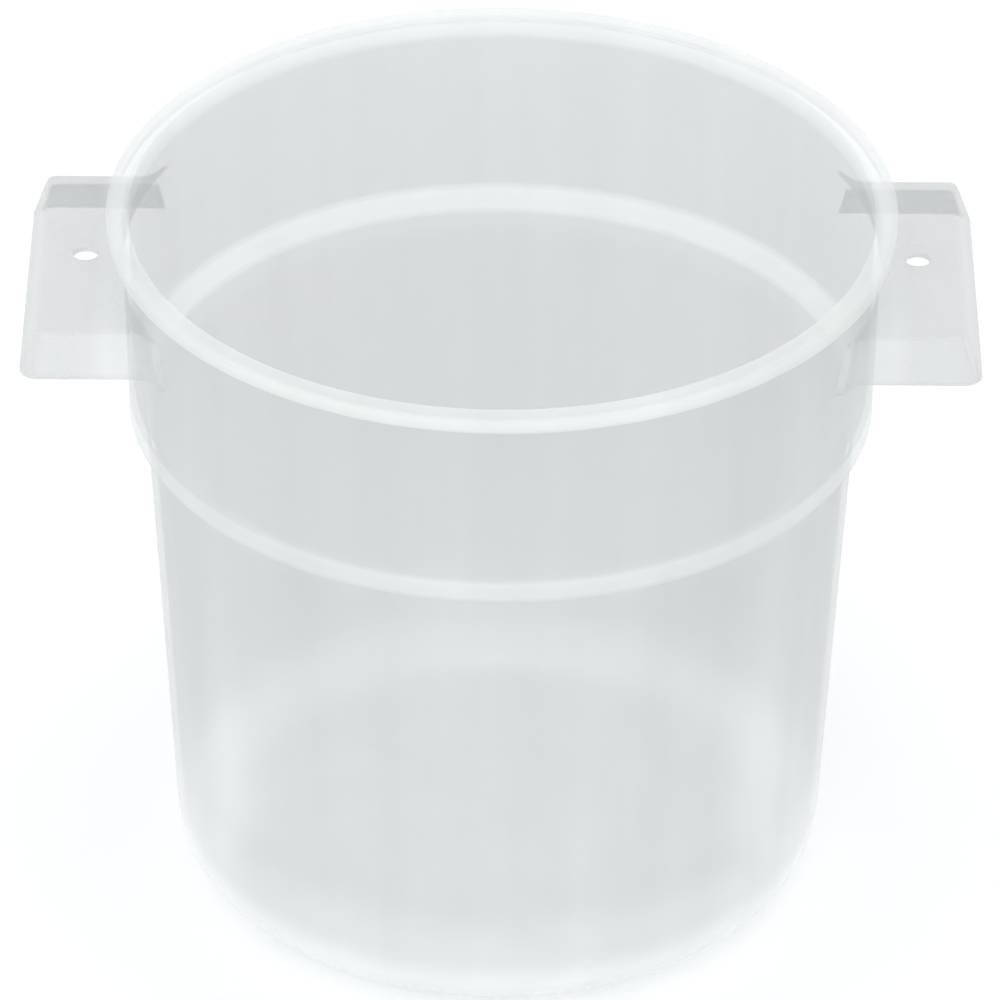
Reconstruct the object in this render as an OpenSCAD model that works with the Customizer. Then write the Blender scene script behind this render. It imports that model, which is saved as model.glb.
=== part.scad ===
// Round translucent storage and proofing container: one injection moulding,
// split here into the zones that do different jobs. Every zone meets its
// neighbour face to face, and none of them moves. Millimetres, +Z up.
// Origin: centre of the face that the container stands on. +X runs through
// the right handle, -X through the left one.

/* [Body] */
// Diameter over the rim lip
rim_d = 324; // [300:1:350]
// Height from the table to the top of the rim
total_h = 314; // [290:1:340]
// Wall thickness of the lower wall, the heel and the floor
wall_t = 2.7; // [2.2:0.1:3.4]
// How far the lower wall leans in for each millimetre of height
lower_draft = 0.0535; // [0.04:0.0005:0.06]
// Outer radius of the heel between the lower wall and the floor
heel_r = 27; // [20:1:32]

/* [Rim] */
// Width of the flat top face of the rim
rim_w = 9.4; // [8.4:0.1:11]
// Height of the lip that hangs from the rim
rim_h = 6.4; // [5:0.1:9]
// Thickness of the flat flange
flange_t = 2.8; // [2.2:0.1:3.6]
// Thickness of the hanging lip
lip_t = 2.6; // [2:0.1:3]
// Bevel on the edges of the rim
rim_bevel = 0.8; // [0.3:0.1:1.2]

/* [Upper band] */
// Wall thickness of the upper band where it meets the flange
band_t = 2.9; // [2.4:0.1:3.4]
// Depth of the upper band, from the rim's top to its lower outside edge
band_depth = 92.7; // [80:0.1:110]
// How far the upper band's outside leans in from top to bottom
band_lean = 1.7; // [0.6:0.1:2.6]

/* [Shoulder] */
// Depth from the rim's top to the upper edge of the inside ledge
ledge_depth = 83; // [76:0.5:86]
// Height of the sloping inside ledge
ledge_h = 6.4; // [4:0.1:9]
// How far the outside steps in from the band to the lower wall
step_in = 7; // [5:0.1:9]
// Height of the hollow rounding under the shoulder
under_h = 4.2; // [3:0.1:6]

/* [Floor] */
// Radius of the raised middle of the floor
recess_r = 91; // [60:1:95]
// How far the middle of the floor stands up off the table
recess_h = 1.2; // [0.6:0.1:2]
// Diameter of the round gate pad at the centre of the underside
gate_d = 10.5; // [6:0.5:14]

/* [Handles] */
// Depth from the rim's top to the handle's top face
handle_drop = 24; // [20:0.5:32]
// Distance from the centre to the outer edge of the handle's top face
handle_reach = 189; // [184:0.5:210]
// Breadth of the handle's top face
handle_breadth = 122.6; // [90:0.2:130]
// Plan radius of the top face's two outer corners
handle_corner = 3.4; // [3.2:0.1:8]
// Height of the whole handle, from its top face to the lower edge of its skirt
handle_h = 18.7; // [14:0.1:26]
// How far the skirt flares out from top to bottom
handle_flare = 6.6; // [2:0.1:8]
// Thickness of the handle's top plate
plate_t = 3; // [2.4:0.1:4]
// Thickness of the handle's skirt
skirt_t = 2.8; // [2.2:0.1:3.4]
// Diameter of the round hole through the plate
hole_d = 10; // [6:0.5:12]
// Distance from the centre to the hole
hole_x = 170.7; // [168:0.1:174]

/* [Hidden] */
$fn = 180;

milky = [0.86, 0.90, 0.89, 0.55];
eps = 0.01;

// radii and heights that follow from the driving sizes
rim_r = rim_d / 2;
mouth_r = rim_r - rim_w;
band_top_z = total_h - flange_t;
band_out_top = mouth_r + band_t;
band_low_z = total_h - band_depth;
band_out_low = band_out_top - band_lean;
ledge_z = total_h - ledge_depth;
band_in_low = mouth_r - 1.0;
split_z = ledge_z + 1;                 // the band rests on the shoulder here
wall_top_z = band_low_z - under_h;     // the shoulder rests on the lower wall here
wall_out_top = band_out_low - step_in;
wall_in_top = wall_out_top - wall_t;

// outside radius of the upper band, and of the lower wall, at height z
function band_out(z) = band_out_low + (z - band_low_z) * band_lean / (band_top_z - band_low_z);
function band_in(z) = band_in_low + (z - ledge_z) * (mouth_r - band_in_low) / (total_h - ledge_z);
function wall_out(z) = wall_out_top - (wall_top_z - z) * lower_draft;
function wall_in(z) = wall_out(z) - wall_t * sqrt(1 + lower_draft * lower_draft);

// the heel is a quarter ring that the wall and the floor run into without a kink
draft_a = atan(lower_draft);
heel_c = wall_out(heel_r) - heel_r * sqrt(1 + lower_draft * lower_draft);
heel_in = heel_r - wall_t;

// the handle's skirt leans out by this much for each millimetre down
flare = handle_flare / handle_h;
handle_z = total_h - handle_drop;
corner_r = max(handle_corner, skirt_t + 0.4);

module ring(points) {
    rotate_extrude() polygon(points);
}

// flat flange around the mouth
module rim_flange() {
    color(milky) ring([
        [mouth_r, band_top_z], [mouth_r, total_h - rim_bevel],
        [mouth_r + rim_bevel, total_h], [rim_r - rim_bevel, total_h],
        [rim_r, total_h - rim_bevel], [rim_r, band_top_z]]);
}

// lip that hangs from the flange's outer edge, which a lid snaps under
module rim_lip() {
    lip_z = total_h - rim_h;
    color(milky) ring([
        [rim_r - lip_t, lip_z], [rim_r - rim_bevel, lip_z], [rim_r, lip_z + rim_bevel],
        [rim_r, band_top_z], [rim_r - lip_t, band_top_z]]);
}

// upper wall, wider than the lower one, which carries the handles
module upper_band() {
    color(milky) ring([
        [band_in(split_z), split_z], [band_out(split_z), split_z],
        [band_out_top, band_top_z], [band_in(band_top_z), band_top_z]]);
}

// thick ring where the outside steps in and the inside has its ledge
module shoulder_ring() {
    low = band_low_z;
    color(milky) ring([
        [band_in(split_z), split_z], [band_in_low, ledge_z],
        [wall_in(ledge_z - ledge_h), ledge_z - ledge_h],
        [wall_in(wall_top_z), wall_top_z], [wall_out_top, wall_top_z],
        [wall_out_top + 0.35, low - under_h * 0.6], [wall_out_top + 1.1, low - under_h * 0.33],
        [wall_out_top + 2.4, low - under_h * 0.12],
        [wall_out_top + 4, low], [band_out_low - 1.5, low],
        [band_out_low - 0.44, low + 0.44], [band_out(low + 1.5), low + 1.5],
        [band_out(split_z), split_z]]);
}

// tapered lower wall
module lower_wall() {
    c = cos(draft_a); s = sin(draft_a);
    color(milky) ring([
        [heel_c + heel_in * c, heel_r - heel_in * s],
        [heel_c + heel_r * c, heel_r - heel_r * s],
        [wall_out_top, wall_top_z], [wall_in(wall_top_z), wall_top_z]]);
}

// rounded heel between the wall and the floor
module base_heel() {
    far = 3 * heel_r;
    color(milky) rotate_extrude() intersection() {
        translate([heel_c, heel_r]) difference() {
            circle(r = heel_r);
            circle(r = heel_in);
        }
        polygon([[heel_c, heel_r], [heel_c, -heel_r],
                 [heel_c + far, -heel_r],
                 [heel_c + far * cos(draft_a), heel_r - far * sin(draft_a)]]);
    }
}

// floor: a flat ring to stand on, and a middle that is raised clear of the table
module base_floor() {
    edge = recess_r + 3;
    color(milky) ring([
        [0, recess_h], [recess_r, recess_h], [edge, 0], [heel_c, 0],
        [heel_c, wall_t], [edge - 0.8, wall_t], [recess_r - 0.8, wall_t + recess_h],
        [0, wall_t + recess_h]]);
}

// round pad with a short stub where the plastic was fed in, under the floor
module gate_mark() {
    color(milky) {
        translate([0, 0, recess_h - 0.4]) cylinder(h = 0.4, d = gate_d);
        translate([0, 0, recess_h - 0.9]) cylinder(h = 0.6, d = 3);
    }
}

// leaning wall of the skirt, as seen along the wall, lean outward = +x
module skirt_section() {
    polygon([[-skirt_t, 0], [0, 0], [handle_flare, -handle_h], [handle_flare - skirt_t, -handle_h]]);
}

// everything inside the upper band's outer face
module band_core() {
    translate([0, 0, band_low_z])
        cylinder(h = band_top_z - band_low_z, r1 = band_out_low, r2 = band_out_top);
}

// top plate of a handle, with its hole, between the band and the skirt; its
// three free sides lean as the skirt does
module handle_plate() {
    x_top = handle_reach - skirt_t;
    a_top = handle_breadth / 2 - skirt_t;
    rc = corner_r - skirt_t;
    x_in = mouth_r - 10;
    grow = flare * plate_t;
    difference() {
        translate([0, 0, handle_z - plate_t]) {
            translate([x_in, 0, 0]) rotate([90, 0, 90]) linear_extrude(x_top - rc - x_in)
                polygon([[-a_top - grow, 0], [a_top + grow, 0], [a_top, plate_t], [-a_top, plate_t]]);
            rotate([90, 0, 0]) linear_extrude(2 * (a_top - rc), center = true)
                polygon([[x_in, 0], [x_top + grow, 0], [x_top, plate_t], [x_in, plate_t]]);
            for (side = [-1, 1])
                translate([x_top - rc, side * (a_top - rc), 0])
                    cylinder(h = plate_t, r1 = rc + grow, r2 = rc);
        }
        band_core();
        translate([hole_x, 0, handle_z - plate_t - 1]) cylinder(h = plate_t + 2, d = hole_d);
    }
}

// flared skirt around three sides of a handle, open underneath for the fingers:
// a wall at the front, one at the back, one at the outer end, two corners
module handle_skirt() {
    x_c = handle_reach - corner_r;
    y_c = handle_breadth / 2 - corner_r;
    x_in = mouth_r - 10;
    difference() {
        translate([0, 0, handle_z]) {
            translate([x_in, y_c + corner_r, 0]) rotate([90, 0, 90]) linear_extrude(x_c - x_in) skirt_section();
            mirror([0, 1, 0])
                translate([x_in, y_c + corner_r, 0]) rotate([90, 0, 90]) linear_extrude(x_c - x_in) skirt_section();
            translate([x_c + corner_r, 0, 0]) rotate([90, 0, 0]) linear_extrude(2 * y_c, center = true) skirt_section();
            translate([x_c, y_c, 0]) rotate_extrude(angle = 90)
                translate([corner_r, 0]) skirt_section();
            translate([x_c, -y_c, 0]) rotate([0, 0, -90]) rotate_extrude(angle = 90)
                translate([corner_r, 0]) skirt_section();
        }
        band_core();
    }
}

module left_handle_plate() {
    color(milky) mirror([1, 0, 0]) handle_plate();
}

module left_handle_skirt() {
    color(milky) mirror([1, 0, 0]) handle_skirt();
}

module right_handle_plate() {
    color(milky) handle_plate();
}

module right_handle_skirt() {
    color(milky) handle_skirt();
}

rim_flange();
rim_lip();
upper_band();
shoulder_ring();
lower_wall();
base_heel();
base_floor();
gate_mark();
left_handle_plate();
left_handle_skirt();
right_handle_plate();
right_handle_skirt();
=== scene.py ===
import bpy, bmesh, math
from mathutils import Vector, Matrix


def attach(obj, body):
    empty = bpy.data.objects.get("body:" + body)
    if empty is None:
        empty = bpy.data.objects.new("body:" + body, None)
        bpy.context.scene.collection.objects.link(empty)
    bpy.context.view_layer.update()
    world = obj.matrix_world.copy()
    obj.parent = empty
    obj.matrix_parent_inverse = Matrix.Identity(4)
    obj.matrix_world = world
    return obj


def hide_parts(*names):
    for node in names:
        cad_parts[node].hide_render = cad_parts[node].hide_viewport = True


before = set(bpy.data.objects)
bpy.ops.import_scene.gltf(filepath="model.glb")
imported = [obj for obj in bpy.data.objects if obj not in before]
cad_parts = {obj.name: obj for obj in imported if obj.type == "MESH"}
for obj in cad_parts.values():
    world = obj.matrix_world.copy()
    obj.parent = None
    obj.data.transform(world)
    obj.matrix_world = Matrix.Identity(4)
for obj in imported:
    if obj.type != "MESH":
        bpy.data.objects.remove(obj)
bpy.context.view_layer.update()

# ---------------------------------------------------------------- sizes (m)
MM = 0.001
H = 314.0
R = 162.0
MOUTH = 152.6
FLANGE_Z = H - 2.8
HANDLE_Z = H - 24.0
REACH = 189.0
BREADTH = 61.3
HAND_H = 18.7
FLARE = 6.6
PLATE = 3.0
SKIRT = 2.8
HOLE_X = 170.7
HOLE_R = 5.0


def arc(cx, cz, rad, a0, a1, n):
    out = []
    for i in range(n + 1):
        a = math.radians(a0 + (a1 - a0) * i / n)
        out.append((cx + rad * math.cos(a), cz + rad * math.sin(a)))
    return out


def line(p, q, n):
    return [(p[0] + (q[0] - p[0]) * i / n, p[1] + (q[1] - p[1]) * i / n) for i in range(1, n)]


# ------------------------------------------- section of the round moulding
draft = 0.0535
r_low0 = 146.9 - draft * 217.1          # outer radius of the wall's line at z = 0


def wall_out(z):
    return r_low0 + draft * z


def wall_in(z):
    return wall_out(z) - 2.7


HEEL = 27.0
heel_c = wall_out(HEEL) - HEEL * math.sqrt(1 + draft * draft)
da = math.degrees(math.atan(draft))

sec = []
# underside, from the middle outward
sec += [(6.0, 1.2)] + line((6.0, 1.2), (90.6, 1.2), 10) + [(90.6, 1.2)]
sec += [(91.6, 1.05), (92.6, 0.6), (93.6, 0.15), (94.6, 0.0)] + line((94.6, 0), (heel_c, 0), 4)
# heel and lower wall, outside
sec += arc(heel_c, HEEL, HEEL, -90, -da, 22)
z1 = HEEL - HEEL * math.sin(math.radians(da))
sec += line((wall_out(z1), z1), (wall_out(214.0), 214.0), 26) + [(wall_out(214.0), 214.0)]
# under the shoulder: hollow rounding, then the band's lower outside edge
ux, uz = wall_out(217.0), 217.0
sec += arc(ux + 4.0, 217.2, 3.9, 178, 96, 8)
sec += [(ux + 4.6, 221.1)]
sec += arc(153.9 - 1.6, 222.9, 1.6, -84, -2, 7)
# outside of the band up to the flange, dense where the handles stand
def band_out(z):
    return 153.8 + (z - 221.3) * 1.7 / (FLANGE_Z - 221.3)
sec += [(band_out(z), z) for z in [226 + 3.0 * i for i in range(0, 28)]]
# channel under the flange, and the hanging lip
sec += [(band_out(309.4), 309.4)]
sec += arc(band_out(310.0) + 1.1, 310.1, 1.1, 180, 90, 5)
sec += arc(159.4 - 0.8, 310.4, 0.8, 90, 0, 4)
sec += [(159.4, 308.6)]
sec += arc(159.4 + 0.5, 307.6 + 0.5, 0.5, 180, 270, 3)
sec += arc(162.0 - 0.9, 307.6 + 0.9, 0.9, 270, 360, 5)
sec += [(162.0, 310.4)]
sec += arc(162.0 - 1.5, H - 1.5, 1.5, 0, 90, 7)
sec += line((160.5, H), (MOUTH + 1.6, H), 4)
sec += arc(MOUTH + 1.6, H - 1.6, 1.6, 90, 180, 7)
# inside of the band
def band_in(z):
    return 151.6 + (z - 231.0) * 1.0 / (H - 231.0)
sec += [(band_in(z), z) for z in [309 - 4.0 * i for i in range(0, 19)]]
# ledge: hollow corner, slope, rounded edge, lower wall
sec += arc(151.62 - 2.6, 233.3, 2.6, 0, -50, 7)
ledge_end = (wall_in(223.0), 223.0)
sec += arc(ledge_end[0] + 2.6, 223.6, 2.6, 130, 180, 7)
sec += [(wall_in(221.0), 221.0)]
zi = HEEL - (HEEL - 2.7) * math.sin(math.radians(da))
sec += line((wall_in(221.0), 221.0), (wall_in(zi), zi), 28)
sec += arc(heel_c, HEEL, HEEL - 2.7, -da, -90, 20)
sec += line((heel_c, 2.7), (94.0, 2.7), 4) + [(94.0, 2.7), (92.8, 2.85), (91.6, 3.3), (90.4, 3.75), (89.4, 3.9)]
sec += line((89.4, 3.9), (6.0, 3.9), 10) + [(6.0, 3.9)]

SEG = 288
bm = bmesh.new()
rings = []
for (r, z) in sec:
    rings.append([bm.verts.new((r * MM * math.cos(2 * math.pi * k / SEG),
                                r * MM * math.sin(2 * math.pi * k / SEG), z * MM)) for k in range(SEG)])
for a, b in zip(rings[:-1], rings[1:]):
    for k in range(SEG):
        j = (k + 1) % SEG
        bm.faces.new((a[k], a[j], b[j], b[k]))
# closed middle of the floor: gate pad and stub below, a faint dimple above
def cap(ring, steps, flip):
    prev = ring
    for (r, z) in steps:
        cur = [bm.verts.new((r * MM * math.cos(2 * math.pi * k / SEG),
                             r * MM * math.sin(2 * math.pi * k / SEG), z * MM)) for k in range(SEG)]
        for k in range(SEG):
            j = (k + 1) % SEG
            q = (prev[k], prev[j], cur[j], cur[k])
            bm.faces.new(q[::-1] if flip else q)
        prev = cur
    c = bm.verts.new((0, 0, steps[-1][1] * MM))
    for k in range(SEG):
        j = (k + 1) % SEG
        t = (prev[k], prev[j], c)
        bm.faces.new(t[::-1] if flip else t)
cap(rings[0], [(5.25, 1.15), (5.1, 0.8), (1.7, 0.8), (1.5, 0.35), (0.8, 0.3)], True)
cap(rings[-1], [(4.6, 3.9), (4.0, 3.6), (1.6, 3.55), (1.1, 3.75), (0.6, 3.8)], False)
bmesh.ops.recalc_face_normals(bm, faces=bm.faces)
me = bpy.data.meshes.new("container_shell")
bm.to_mesh(me)
bm.free()
shell = bpy.data.objects.new("container_shell", me)
bpy.context.scene.collection.objects.link(shell)


# ------------------------------------------------------------ the handles
def outline(grow, rc, r_in, fillet, n_side=14, n_corner=8, n_end=18, n_arc=40):
    """plan loop of a handle: grow moves its free sides out; r_in is the radius of
    its inner side, which lies inside the band's wall"""
    a = BREADTH + grow
    xo = REACH + grow
    pts = []
    r_wall = 155.2

    def side(sign):
        out = []
        x0 = math.sqrt(r_in * r_in - (a + (fillet if fillet else 0)) ** 2)
        xw = math.sqrt(r_wall * r_wall - a * a)
        for i in range(n_side):
            t = (i / n_side) ** 1.6
            x = x0 + (xo - rc - x0) * t
            d = x - xw
            off = 0.0
            if fillet and d < fillet:
                dd = max(d, 0.0)
                off = fillet - math.sqrt(max(fillet * fillet - (fillet - dd) ** 2, 0.0))
            out.append((x, sign * (a + off)))
        return out

    s1 = side(-1)
    pts += s1
    for i in range(n_corner):
        t = math.radians(-90 + 90 * i / n_corner)
        pts.append((xo - rc + rc * math.cos(t), -(a - rc) + rc * math.sin(t)))
    for i in range(n_end):
        pts.append((xo, -(a - rc) + 2 * (a - rc) * i / n_end))
    for i in range(n_corner):
        t = math.radians(90 * i / n_corner)
        pts.append((xo - rc + rc * math.cos(t), (a - rc) + rc * math.sin(t)))
    s2 = side(1)
    pts.append((xo - rc, a))
    pts += s2[::-1][:-1]
    y1 = s2[0][1]
    for i in range(n_arc):
        y = y1 - 2 * y1 * i / n_arc
        pts.append((math.sqrt(max(r_in * r_in - y * y, 0)), y))
    return pts


def handle_mesh(name, mirror):
    bm = bmesh.new()
    loops = []
    k = FLARE / HAND_H
    # outside, from the top face down
    tilt = math.degrees(math.atan(k))
    rr = 1.6
    lev = []
    for i in range(6):
        t = math.radians(90 - (90 - tilt) * i / 5)
        lev.append((-rr + rr * math.cos(t) + 0.25, HANDLE_Z - rr + rr * math.sin(t)))
    for i in range(1, 7):
        z = HANDLE_Z - rr - (HAND_H - rr - 0.9) * i / 6
        lev.append((k * (HANDLE_Z - z), z))
    zb = HANDLE_Z - HAND_H
    lev.append((FLARE - 0.35, zb + 0.1))
    lev.append((FLARE - 0.9, zb))
    for g, z in lev:
        rc = max(3.0 + g * 0.75, 1.0)
        loops.append([(x, y, z) for x, y in outline(g, rc, 153.6, 8.0)])
    # inside, from the skirt's lower edge up to the plate's underside
    lev = [(FLARE - SKIRT + 0.5, zb), (FLARE - SKIRT - 0.1, zb + 0.35)]
    for i in range(1, 6):
        z = zb + 0.35 + (HAND_H - PLATE - 1.9) * i / 5
        lev.append((k * (HANDLE_Z - z) - SKIRT, z))
    g0 = lev[-1][0]
    z0 = lev[-1][1]
    for i in range(1, 5):
        t = math.radians(90 * i / 4)
        lev.append((g0 - 1.5 * (1 - math.cos(t)), z0 + (HANDLE_Z - PLATE - z0) * math.sin(t)))
    for g, z in lev:
        rc = max(3.0 + (g + SKIRT) * 0.75 - 1.6, 0.8)
        loops.append([(x, y, z) for x, y in outline(g, rc, 154.3, 0.0)])
    vl = [[bm.verts.new((x * MM * (-1 if mirror else 1), y * MM, z * MM)) for x, y, z in lp] for lp in loops]
    n = len(vl[0])
    for a, b in zip(vl[:-1], vl[1:]):
        for i in range(n):
            j = (i + 1) % n
            bm.faces.new((a[i], a[j], b[j], b[i]))
    bm.faces.new(vl[0])
    bm.faces.new(vl[-1])
    bmesh.ops.recalc_face_normals(bm, faces=bm.faces)
    me = bpy.data.meshes.new(name)
    bm.to_mesh(me)
    bm.free()
    ob = bpy.data.objects.new(name, me)
    bpy.context.scene.collection.objects.link(ob)
    return ob


def hole_mesh(name, mirror):
    """round punch whose ends open out, so that the hole's edges are rounded"""
    bm = bmesh.new()
    prof = [(9.0, HANDLE_Z + 4.0), (9.0, HANDLE_Z + 0.01)]
    prof = [(HOLE_R + 1.2, HANDLE_Z + 3.0), (HOLE_R + 1.0, HANDLE_Z + 0.05), (HOLE_R + 0.45, HANDLE_Z - 0.15),
            (HOLE_R + 0.12, HANDLE_Z - 0.5), (HOLE_R, HANDLE_Z - 1.0), (HOLE_R, HANDLE_Z - PLATE + 0.8),
            (HOLE_R + 0.12, HANDLE_Z - PLATE + 0.4), (HOLE_R + 0.45, HANDLE_Z - PLATE + 0.12),
            (HOLE_R + 0.8, HANDLE_Z - PLATE - 0.05), (HOLE_R + 1.0, HANDLE_Z - PLATE - 3.0)]
    N = 64
    rr = [[bm.verts.new(((HOLE_X + r * math.cos(2 * math.pi * i / N)) * MM * (-1 if mirror else 1),
                         r * math.sin(2 * math.pi * i / N) * MM, z * MM)) for i in range(N)] for r, z in prof]
    for a, b in zip(rr[:-1], rr[1:]):
        for i in range(N):
            j = (i + 1) % N
            bm.faces.new((a[i], a[j], b[j], b[i]))
    bm.faces.new(rr[0])
    bm.faces.new(rr[-1])
    bmesh.ops.recalc_face_normals(bm, faces=bm.faces)
    me = bpy.data.meshes.new(name)
    bm.to_mesh(me)
    bm.free()
    ob = bpy.data.objects.new(name, me)
    bpy.context.scene.collection.objects.link(ob)
    return ob


def boolean(target, tool, op):
    m = target.modifiers.new("b", "BOOLEAN")
    m.operation = op
    m.solver = "EXACT"
    m.object = tool
    dg = bpy.context.evaluated_depsgraph_get()
    new = bpy.data.meshes.new_from_object(target.evaluated_get(dg))
    target.modifiers.remove(m)
    old = target.data
    target.data = new
    bpy.data.meshes.remove(old)
    bpy.data.objects.remove(tool, do_unlink=True)


for mirror in (False, True):
    lug = handle_mesh("lug", mirror)
    boolean(lug, hole_mesh("punch", mirror), "DIFFERENCE")
    boolean(shell, lug, "UNION")
shell.data.name = "container_shell"
for p in shell.data.polygons:
    p.use_smooth = True
shell.data.set_sharp_from_angle(angle=math.radians(38))

# --------------------------------------------------------------- material
mat = bpy.data.materials.new("milky_polypropylene")
mat.use_nodes = True
nt = mat.node_tree
nt.nodes.clear()
N = nt.nodes.new
out = N("ShaderNodeOutputMaterial")
bsdf = N("ShaderNodeBsdfPrincipled")
bsdf.inputs["IOR"].default_value = 1.49
bsdf.inputs["Alpha"].default_value = 0.38
bsdf.inputs["Subsurface Weight"].default_value = 0.0
bsdf.inputs["Coat Weight"].default_value = 0.0
tc = N("ShaderNodeTexCoord")
# slow cloudiness of the plastic
n1 = N("ShaderNodeTexNoise")
n1.inputs["Scale"].default_value = 9.0
n1.inputs["Detail"].default_value = 3.0
nt.links.new(tc.outputs["Object"], n1.inputs["Vector"])
cr = N("ShaderNodeValToRGB")
cr.color_ramp.elements[0].position = 0.35
cr.color_ramp.elements[0].color = (0.925, 0.946, 0.936, 1)
cr.color_ramp.elements[1].position = 0.68
cr.color_ramp.elements[1].color = (0.955, 0.975, 0.968, 1)
nt.links.new(n1.outputs["Fac"], cr.inputs["Fac"])
# painted light: by height the colour is painted brighter at the floor and heel, the shoulder and the rim,
# standing in for the light the thick plastic scatters there and for light on the floor inside; the walls
# between are painted a little darker
sx = N("ShaderNodeSeparateXYZ")
nt.links.new(tc.outputs["Object"], sx.inputs["Vector"])
zr = N("ShaderNodeMapRange")
zr.inputs["From Min"].default_value = 0.0
zr.inputs["From Max"].default_value = 0.314
nt.links.new(sx.outputs["Z"], zr.inputs["Value"])
painted_light_by_height = N("ShaderNodeValToRGB")
painted_light_by_height.color_ramp.interpolation = "EASE"
# height, brightness: the high values are painted light at floor and heel, shoulder line and rim
painted_light_stops = [(0.0, 1.45), (0.035, 1.45), (0.11, 1.09), (0.20, 0.95), (0.66, 0.90), (0.705, 0.96), (0.715, 1.22), (0.733, 1.22),
         (0.742, 0.925), (0.965, 0.90), (0.977, 1.20), (0.996, 1.30)]
el = painted_light_by_height.color_ramp.elements
while len(el) < len(painted_light_stops):
    el.new(0.5)
for e, (pos, v) in zip(el, painted_light_stops):
    e.position = pos
    low = pos < 0.7
    g = v / 1.45
    e.color = (g * (1.0 if low else 0.995), g * 1.0, g * (1.012 if low else 0.995), 1)
nt.links.new(zr.outputs["Result"], painted_light_by_height.inputs["Fac"])
ang = N("ShaderNodeMapping")
ang.inputs["Scale"].default_value = (38, 38, 1.2)
nt.links.new(tc.outputs["Object"], ang.inputs["Vector"])
n4 = N("ShaderNodeTexNoise")
n4.inputs["Scale"].default_value = 1.0
n4.inputs["Detail"].default_value = 3.0
nt.links.new(ang.outputs["Vector"], n4.inputs["Vector"])
fl = N("ShaderNodeMapRange")
fl.inputs["From Min"].default_value = 0.3
fl.inputs["From Max"].default_value = 0.7
fl.inputs["To Min"].default_value = 0.965
fl.inputs["To Max"].default_value = 1.035
nt.links.new(n4.outputs["Fac"], fl.inputs["Value"])
# painted shade: the handles' colour is painted a little darker, standing in for the thin plates and skirts
# scattering less light than the thicker wall
ax = N("ShaderNodeMath")
ax.operation = "ABSOLUTE"
nt.links.new(sx.outputs["X"], ax.inputs[0])
painted_handle_shade = N("ShaderNodeMapRange")
painted_handle_shade.inputs["From Min"].default_value = 0.160
painted_handle_shade.inputs["From Max"].default_value = 0.168
painted_handle_shade.inputs["To Min"].default_value = 1.0
painted_handle_shade.inputs["To Max"].default_value = 0.88
nt.links.new(ax.outputs["Value"], painted_handle_shade.inputs["Value"])
fm = N("ShaderNodeMath")
fm.operation = "MULTIPLY"
nt.links.new(fl.outputs["Result"], fm.inputs[0])
nt.links.new(painted_handle_shade.outputs["Result"], fm.inputs[1])
flv = N("ShaderNodeVectorMath")
flv.operation = "SCALE"
nt.links.new(painted_light_by_height.outputs["Color"], flv.inputs[0])
nt.links.new(fm.outputs["Value"], flv.inputs["Scale"])
mul = N("ShaderNodeMix")
mul.data_type = "RGBA"
mul.blend_type = "MULTIPLY"
mul.inputs["Factor"].default_value = 1.0
nt.links.new(cr.outputs["Color"], mul.inputs[6])
nt.links.new(flv.outputs["Vector"], mul.inputs[7])
nt.links.new(mul.outputs[2], bsdf.inputs["Base Color"])
# roughness: slow changes of the moulded gloss
mp = N("ShaderNodeMapping")
mp.inputs["Scale"].default_value = (14, 14, 5)
nt.links.new(tc.outputs["Object"], mp.inputs["Vector"])
n2 = N("ShaderNodeTexNoise")
n2.inputs["Scale"].default_value = 1.0
n2.inputs["Detail"].default_value = 2.0
nt.links.new(mp.outputs["Vector"], n2.inputs["Vector"])
mr = N("ShaderNodeMapRange")
mr.inputs["To Min"].default_value = 0.27
mr.inputs["To Max"].default_value = 0.38
nt.links.new(n2.outputs["Fac"], mr.inputs["Value"])
nt.links.new(mr.outputs["Result"], bsdf.inputs["Roughness"])
# fine moulded skin
n3 = N("ShaderNodeTexNoise")
n3.inputs["Scale"].default_value = 300.0
n3.inputs["Detail"].default_value = 2.0
nt.links.new(tc.outputs["Object"], n3.inputs["Vector"])
b1 = N("ShaderNodeBump")
b1.inputs["Strength"].default_value = 0.05
b1.inputs["Distance"].default_value = 0.0002
nt.links.new(n3.outputs["Fac"], b1.inputs["Height"])
nt.links.new(b1.outputs["Normal"], bsdf.inputs["Normal"])
nt.links.new(bsdf.outputs["BSDF"], out.inputs["Surface"])
shell.data.materials.clear()
shell.data.materials.append(mat)

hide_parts("rim_flange", "rim_lip", "upper_band", "shoulder_ring", "lower_wall", "base_heel",
            "base_floor", "gate_mark", "left_handle_plate", "left_handle_skirt",
            "right_handle_plate", "right_handle_skirt")
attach(shell, "root")

# ------------------------------------------------------------ floor, light
fm = bpy.data.materials.new("pale_floor")
fm.use_nodes = True
fb = fm.node_tree.nodes["Principled BSDF"]
fb.inputs["Base Color"].default_value = (0.96, 0.96, 0.96, 1)
fb.inputs["Roughness"].default_value = 0.9
fb.inputs["Specular IOR Level"].default_value = 0.1
bm = bmesh.new()
# flat floor, open on every side
W = 7.0
prof = [(-7.0, 0.0), (7.0, 0.0)]
va = [(bm.verts.new((-W, y, z - 0.0002)), bm.verts.new((W, y, z - 0.0002))) for y, z in prof]
for a, b in zip(va[:-1], va[1:]):
    bm.faces.new((a[0], a[1], b[1], b[0]))
me = bpy.data.meshes.new("floor")
bm.to_mesh(me)
bm.free()
for p in me.polygons:
    p.use_smooth = True
floor = bpy.data.objects.new("floor", me)
bpy.context.scene.collection.objects.link(floor)
floor.data.materials.append(fm)

world = bpy.data.worlds.new("studio")
bpy.context.scene.world = world
world.use_nodes = True
bg = world.node_tree.nodes["Background"]
bg.inputs["Color"].default_value = (0.97, 0.985, 1.0, 1)
bg.inputs["Strength"].default_value = 1.04


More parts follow.
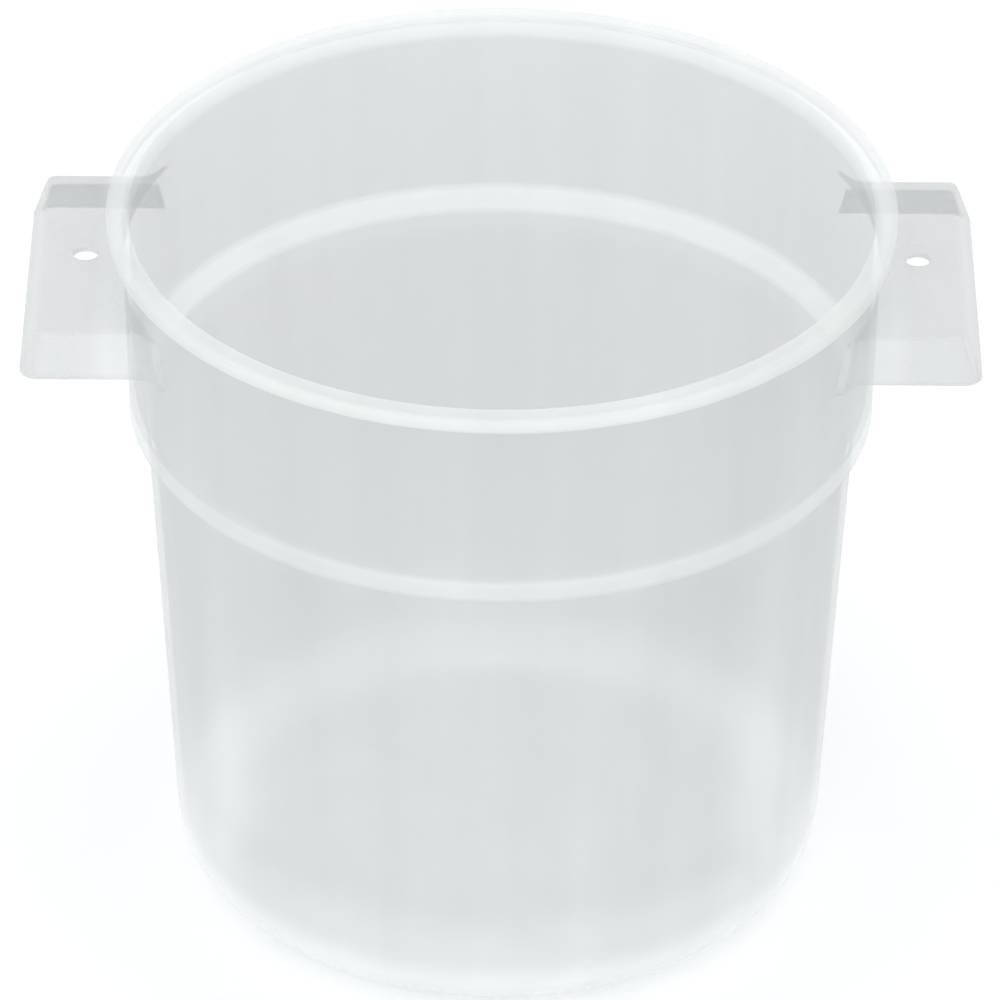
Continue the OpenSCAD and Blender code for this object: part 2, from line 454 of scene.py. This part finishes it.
def area(name, loc, target, sx, sy, power):
    ld = bpy.data.lights.new(name, "AREA")
    ld.shape = "RECTANGLE"
    ld.size = sx
    ld.size_y = sy
    ld.energy = power
    ob = bpy.data.objects.new(name, ld)
    bpy.context.scene.collection.objects.link(ob)
    ob.location = loc
    d = Vector(target) - Vector(loc)
    ob.rotation_euler = d.to_track_quat("-Z", "Y").to_euler()
    return ob


# low strips beside the container, which the glossy wall mirrors as upright streaks
for sign in (-1, 1):
    s_ob = area("strip_%s" % ("left" if sign < 0 else "right"), (0.335 * sign, -0.006, 0.004),
                (0.335 * sign, -0.006, 1.0), 0.055, 0.36, 0.12)
    s_ob.rotation_euler = (math.pi, 0, -sign * math.radians(68))
    s_ob.visible_camera = False
area("key", (-0.4, -2.5, 0.75), (0, 0, 0.15), 1.4, 0.9, 13)
area("top", (0.1, 0.2, 2.6), (0, 0, 0.1), 1.6, 1.6, 6)
# soft spot down through the mouth, on the floor
sl = bpy.data.lights.new("floor_spot", "SPOT")
sl.energy = 50
sl.spot_size = math.radians(6.6)
sl.spot_blend = 0.35
sl.shadow_soft_size = 0.04
so = bpy.data.objects.new("floor_spot", sl)
bpy.context.scene.collection.objects.link(so)
so.location = (0, 0, 2.6)

# ---------------------------------------------------------------- camera
th = math.radians(33.45)
roll = 0.0074
Rm = R * MM
D = 22.0 * Rm
fwd = Vector((0, math.cos(th), -math.sin(th)))
aim = Vector((0, 0, (H / 2) * MM + 0.0792 * Rm))
cam_d = bpy.data.cameras.new("camera")
cam = bpy.data.objects.new("camera", cam_d)
bpy.context.scene.collection.objects.link(cam)
cam_d.sensor_width = 36.0
cam_d.lens = 387.6 * 22.0 / 1000.0 * 36.0
cam_d.clip_start = 0.05
cam_d.clip_end = 60.0
cam.location = aim - D * fwd
q = fwd.to_track_quat("-Z", "Y")
cam.rotation_euler = (q.to_matrix() @ Matrix.Rotation(roll, 3, "Z")).to_euler()
bpy.context.scene.camera = cam

bpy.context.scene.view_settings.view_transform = "Standard"
bpy.context.scene.view_settings.look = "None"
bpy.context.scene.view_settings.exposure = 0.0
